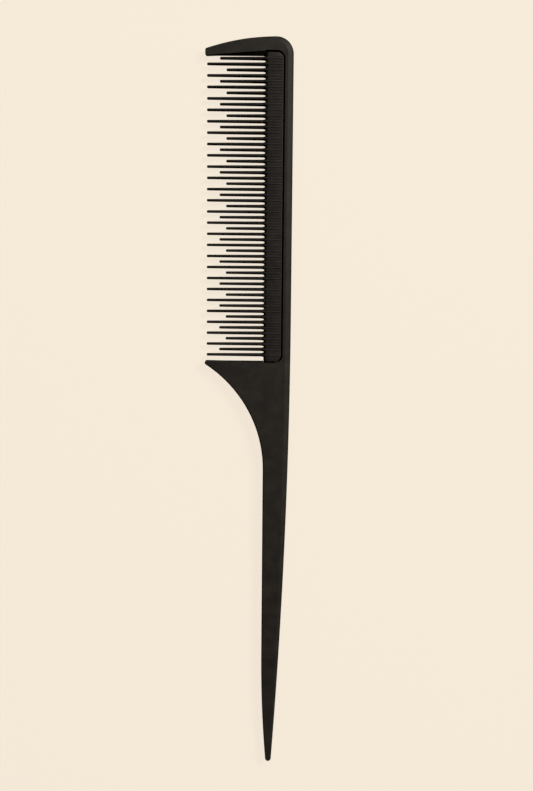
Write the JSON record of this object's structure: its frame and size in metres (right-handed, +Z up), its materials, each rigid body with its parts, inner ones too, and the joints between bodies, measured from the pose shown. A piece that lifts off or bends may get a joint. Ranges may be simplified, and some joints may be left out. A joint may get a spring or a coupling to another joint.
{
  "type": "rat tail comb",
  "caption": "Flat black plastic comb for teasing and sectioning hair, with staggered fine teeth, an end guard and a long thin tapered tail.",
  "frame": {"origin": "centre of the comb's footprint, on the surface that it lies on", "axes": "+Y along the comb from the tail's tip to the head, +X from the tooth tips to the back edge, +Z up through its thickness"},
  "size_m": [0.0268, 0.23, 0.0042],
  "materials": {
    "comb_plastic": "satin",
    "tooth_plastic": "satin"
  },
  "bodies": {
    "root": {"frame": "comb_plastic", "root_bar": "tooth_plastic", "tooth_01_medium": "tooth_plastic", "tooth_02_long": "tooth_plastic", "tooth_03_short": "tooth_plastic", "tooth_04_long": "tooth_plastic", "tooth_05_medium": "tooth_plastic", "tooth_06_long": "tooth_plastic", "tooth_07_short": "tooth_plastic", "tooth_08_long": "tooth_plastic", "tooth_09_medium": "tooth_plastic", "tooth_10_long": "tooth_plastic", "tooth_11_short": "tooth_plastic", "tooth_12_long": "tooth_plastic", "tooth_13_medium": "tooth_plastic", "tooth_14_long": "tooth_plastic", "tooth_15_short": "tooth_plastic", "tooth_16_long": "tooth_plastic", "tooth_17_medium": "tooth_plastic", "tooth_18_long": "tooth_plastic", "tooth_19_short": "tooth_plastic", "tooth_20_long": "tooth_plastic", "tooth_21_medium": "tooth_plastic", "tooth_22_long": "tooth_plastic", "tooth_23_short": "tooth_plastic", "tooth_24_long": "tooth_plastic", "tooth_25_medium": "tooth_plastic", "tooth_26_long": "tooth_plastic", "tooth_27_short": "tooth_plastic", "tooth_28_long": "tooth_plastic", "tooth_29_medium": "tooth_plastic", "tooth_30_long": "tooth_plastic", "tooth_31_short": "tooth_plastic", "tooth_32_long": "tooth_plastic", "tooth_33_medium": "tooth_plastic", "tooth_34_long": "tooth_plastic", "tooth_35_short": "tooth_plastic", "tooth_36_long": "tooth_plastic", "tooth_37_medium": "tooth_plastic", "tooth_38_long": "tooth_plastic", "tooth_39_short": "tooth_plastic", "tooth_40_long": "tooth_plastic", "tooth_41_medium": "tooth_plastic", "tooth_42_long": "tooth_plastic", "tooth_43_short": "tooth_plastic", "tooth_44_long": "tooth_plastic", "tooth_45_medium": "tooth_plastic", "tooth_46_long": "tooth_plastic", "tooth_47_short": "tooth_plastic", "tooth_48_long": "tooth_plastic", "tooth_49_medium": "tooth_plastic", "tooth_50_long": "tooth_plastic", "tooth_51_short": "tooth_plastic", "tooth_52_long": "tooth_plastic", "tooth_53_medium": "tooth_plastic", "tooth_54_long": "tooth_plastic"}
  },
  "joints": []
}
